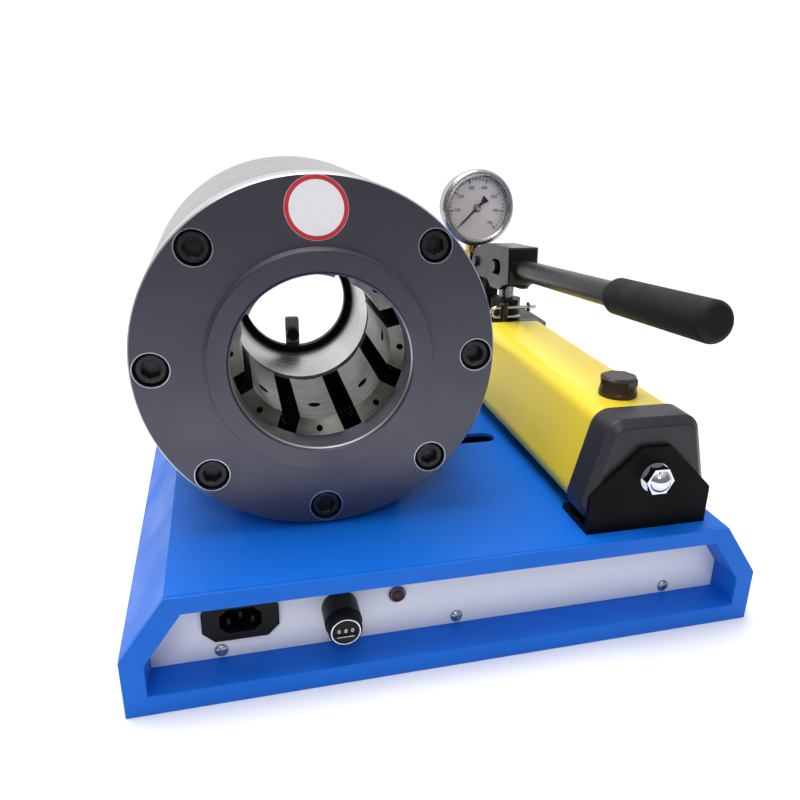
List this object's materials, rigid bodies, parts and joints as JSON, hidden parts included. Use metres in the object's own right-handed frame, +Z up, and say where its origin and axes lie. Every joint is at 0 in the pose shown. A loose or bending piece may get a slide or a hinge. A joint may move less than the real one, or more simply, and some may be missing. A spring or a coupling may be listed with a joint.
{
  "type": "hose crimping machine",
  "caption": "Bench hose crimper with a round eight-die head driven by a hand pump, a gauge and a dial on a folded steel base.",
  "frame": {"origin": "centre of the base's underside, on the bench", "axes": "+X to the operator's right, +Y away from the operator along the head's axis, +Z up"},
  "size_m": [0.409, 0.427, 0.2931],
  "materials": {
    "blue_enamel": "semi-gloss powder coat",
    "panel_enamel": "satin paint",
    "dark_flange": "satin blackened steel",
    "machined_steel": "turned",
    "black_screw": "black oxide",
    "die_steel": "oiled, hardened",
    "spring_steel": "drawn wire",
    "seal": "satin",
    "yellow_enamel": "gloss paint",
    "black_enamel": "semi-gloss paint",
    "black_plastic": "moulded",
    "zinc": "zinc plated",
    "chrome": "polished",
    "brass": "turned",
    "grip": "matt",
    "dial": "printed",
    "glass": "clear",
    "red_lens": "clear red"
  },
  "bodies": {
    "base": {"base_shell": "blue_enamel", "front_bezel": "blue_enamel", "rear_bezel": "blue_enamel", "front_panel": "panel_enamel", "rear_panel": "panel_enamel", "panel_screws": "zinc", "front_flange": "dark_flange", "flange_screws": "black_screw", "head_barrel": "machined_steel", "head_saddle": "machined_steel", "saddle_bolts": "black_screw", "die_springs": "spring_steel", "limit_switch": "black_plastic", "tank": "yellow_enamel", "tank_end_cap": "black_enamel", "front_foot": "black_enamel", "tie_rod": "zinc", "domed_nut": "zinc", "pump_block": "black_enamel", "pump_bolts": "zinc", "suction_strainer": "brass", "gland_nut": "black_screw", "gauge_case": "chrome", "gauge_bezel": "chrome", "gauge_glass": "glass", "gauge_dial": "dial", "gauge_adapter": "brass", "port_fittings": "zinc", "hydraulic_pipe": "zinc", "inlet_socket": "black_plastic", "inlet_pins": "zinc", "counter_housing": "black_plastic", "lamp_bezel": "chrome", "lamp_lens": "red_lens", "power_module": "black_plastic"},
    "piston": {"piston": "machined_steel", "piston_seal": "seal", "end_ring": "black_screw", "hose_stop": "machined_steel", "stop_screws": "black_screw"},
    "handle": {"lever_head": "black_enamel", "handle_tube": "black_enamel", "handle_grip": "grip", "fulcrum_pin": "machined_steel"},
    "plunger": {"plunger": "chrome", "plunger_pin": "machined_steel"},
    "release_valve": {"release_stem": "black_screw", "release_bar": "chrome"},
    "filler_cap": {"filler_cap": "black_plastic"},
    "counter_ring": {"counter_ring": "black_plastic"},
    "gauge_needle": {"gauge_needle": "black_plastic"},
    "die_1": {"die_1": "die_steel"},
    "die_2": {"die_2": "die_steel"},
    "die_3": {"die_3": "die_steel"},
    "die_4": {"die_4": "die_steel"},
    "die_5": {"die_5": "die_steel"},
    "die_6": {"die_6": "die_steel"},
    "die_7": {"die_7": "die_steel"},
    "die_8": {"die_8": "die_steel"}
  },
  "joints": [
    {"name": "piston_slide", "type": "slide", "parent": "base", "child": "piston", "axis": [0, -1, 0], "range_m": [0, 0.0399], "stiffness_N_per_m": 1500, "springref_m": -0.01, "deforming": ["die_springs"]},
    {"name": "die_1_slide", "type": "slide", "parent": "base", "child": "die_1", "axis": [0, -0.8192, 0.5736], "range_m": [0, 0.0244]},
    {"name": "die_2_slide", "type": "slide", "parent": "base", "child": "die_2", "axis": [-0.4056, -0.8192, 0.4056], "range_m": [0, 0.0244]},
    {"name": "die_3_slide", "type": "slide", "parent": "base", "child": "die_3", "axis": [-0.5736, -0.8192, 0], "range_m": [0, 0.0244]},
    {"name": "die_4_slide", "type": "slide", "parent": "base", "child": "die_4", "axis": [-0.4056, -0.8192, -0.4056], "range_m": [0, 0.0244]},
    {"name": "die_5_slide", "type": "slide", "parent": "base", "child": "die_5", "axis": [0, -0.8192, -0.5736], "range_m": [0, 0.0244]},
    {"name": "die_6_slide", "type": "slide", "parent": "base", "child": "die_6", "axis": [0.4056, -0.8192, -0.4056], "range_m": [0, 0.0244]},
    {"name": "die_7_slide", "type": "slide", "parent": "base", "child": "die_7", "axis": [0.5736, -0.8192, 0], "range_m": [0, 0.0244]},
    {"name": "die_8_slide", "type": "slide", "parent": "base", "child": "die_8", "axis": [0.4056, -0.8192, 0.4056], "range_m": [0, 0.0244]},
    {"name": "handle_hinge", "type": "hinge", "parent": "base", "child": "handle", "pos_m": [0.1225, 0.152, 0.1926], "axis": [-1, 0, 0], "range_deg": [-6, 30]},
    {"name": "plunger_slide", "type": "slide", "parent": "base", "child": "plunger", "axis": [0, 0, 1], "range_m": [-0.0062, 0.0303]},
    {"name": "release_valve_turn", "type": "hinge", "parent": "base", "child": "release_valve", "pos_m": [0.114, 0.081, 0.15], "axis": [0, 0, 1], "range_deg": [-45, 0]},
    {"name": "filler_cap_turn", "type": "hinge", "parent": "base", "child": "filler_cap", "pos_m": [0.1225, -0.129, 0.15], "axis": [0, 0, 1], "range_deg": [0, 360]},
    {"name": "counter_ring_turn", "type": "hinge", "parent": "base", "child": "counter_ring", "pos_m": [-0.079, -0.195, 0.0375], "axis": [0, -1, 0], "continuous": true},
    {"name": "gauge_needle_turn", "type": "hinge", "parent": "base", "child": "gauge_needle", "pos_m": [0.112, 0.168, 0.2425], "axis": [0, 1, 0], "range_deg": [0, 270], "stiffness_Nm_per_rad": 0.0004, "springref_deg": -17.19}
  ],
  "couplings": [
    {"joint": "die_1_slide", "follows": "piston_slide", "ratio": 0.61039},
    {"joint": "die_2_slide", "follows": "piston_slide", "ratio": 0.61039},
    {"joint": "die_3_slide", "follows": "piston_slide", "ratio": 0.61039},
    {"joint": "die_4_slide", "follows": "piston_slide", "ratio": 0.61039},
    {"joint": "die_5_slide", "follows": "piston_slide", "ratio": 0.61039},
    {"joint": "die_6_slide", "follows": "piston_slide", "ratio": 0.61039},
    {"joint": "die_7_slide", "follows": "piston_slide", "ratio": 0.61039},
    {"joint": "die_8_slide", "follows": "piston_slide", "ratio": 0.61039},
    {"joint": "plunger_slide", "follows": "handle_hinge", "m_per_rad": 0.0575}
  ]
}
